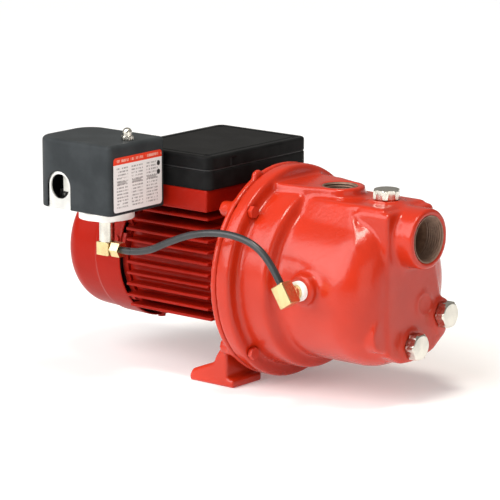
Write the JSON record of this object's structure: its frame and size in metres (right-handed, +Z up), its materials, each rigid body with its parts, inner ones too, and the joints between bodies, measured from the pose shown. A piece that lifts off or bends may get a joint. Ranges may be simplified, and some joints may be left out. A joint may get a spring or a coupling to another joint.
{
  "type": "shallow well jet pump",
  "caption": "Self-contained shallow well jet pump: cast casing with nozzle and venturi, finned electric motor, terminal box, and pressure switch joined to the casing by a sensing tube.",
  "frame": {"origin": "on the floor, midway between the bolt holes of the two feet", "axes": "+X along the shaft from the fan to the suction port, +Y to the side away from the pressure switch, +Z up"},
  "size_m": [0.3803, 0.2449, 0.2357],
  "materials": {
    "cast_red": "thick gloss enamel over rough casting",
    "frame_red": "gloss enamel",
    "box_black": "satin moulded",
    "switch_grey": "satin grained",
    "zinc": "zinc plated",
    "label": "printed film",
    "brass": "machined, lightly tarnished",
    "nickel": "nickel plated, satin",
    "tube_black": "extruded, semi gloss",
    "ring_white": "moulded",
    "rubber": "moulded",
    "glass_nylon": "glass filled",
    "steel": "ground",
    "ceramic": "lapped",
    "carbon": "lapped",
    "laminations": "stacked sheet",
    "copper": "enamelled wire",
    "white_plastic": "moulded"
  },
  "bodies": {
    "housing": {"box_gasket": "rubber", "capacitor": "white_plastic", "casing_bolts": "cast_red", "casing_elbow": "brass", "casing_ring": "rubber", "compression_nut": "brass", "conduit_locknuts": "zinc", "conduit_nipple": "zinc", "contact_block": "white_plastic", "cover_label": "label", "cover_nut": "nickel", "diaphragm": "rubber", "diaphragm_clamp": "zinc", "diaphragm_housing": "ring_white", "diffuser": "glass_nylon", "elbow_ring": "ring_white", "fan_cover": "frame_red", "fan_cover_screws": "frame_red", "lever_pin": "zinc", "lid_screws": "zinc", "motor_bracket": "cast_red", "motor_frame": "frame_red", "nose_plugs": "nickel", "nozzle": "glass_nylon", "outer_races": "steel", "pressure_nipple": "nickel", "priming_plug": "nickel", "pump_casing": "cast_red", "range_nut": "zinc", "rear_end_shield": "frame_red", "seal_cup": "rubber", "seal_seat": "ceramic", "sensing_tube": "tube_black", "spring_stud": "zinc", "spring_washer": "steel", "stator_core": "laminations", "stator_windings": "copper", "switch_bracket": "zinc", "switch_cover": "switch_grey", "switch_elbow": "brass", "terminal_block": "white_plastic", "terminal_box_base": "box_black", "terminal_box_lid": "box_black", "tie_rods": "frame_red", "venturi_ring": "rubber", "venturi_tube": "glass_nylon"},
    "rotor": {"shaft": "steel", "rotor_core": "laminations", "impeller": "glass_nylon", "impeller_nut": "brass", "seal_head": "carbon", "seal_spring": "steel", "slinger": "rubber", "cooling_fan": "glass_nylon", "fan_clip": "steel", "inner_races": "steel"},
    "cages": {"ball_cages": "steel"},
    "lever": {"switch_lever": "zinc", "range_spring": "steel"},
    "plunger": {"plunger": "glass_nylon"}
  },
  "joints": [
    {"name": "rotor_spin", "type": "hinge", "parent": "housing", "child": "rotor", "pos_m": [0, 0, 0.1017], "axis": [1, 0, 0], "continuous": true},
    {"name": "cage_spin", "type": "hinge", "parent": "housing", "child": "cages", "pos_m": [0, 0, 0.1017], "axis": [1, 0, 0], "continuous": true},
    {"name": "lever_tilt", "type": "hinge", "parent": "housing", "child": "lever", "pos_m": [-0.104, -0.1113, 0.1703], "axis": [0, 1, 0], "range_deg": [0, 1.55]},
    {"name": "plunger_slide", "type": "slide", "parent": "housing", "child": "plunger", "axis": [0, 0, 1], "range_m": [-0.00099, 0]}
  ],
  "couplings": [
    {"joint": "cage_spin", "follows": "rotor_spin", "ratio": 0.38},
    {"joint": "plunger_slide", "follows": "lever_tilt", "m_per_rad": -0.036}
  ]
}
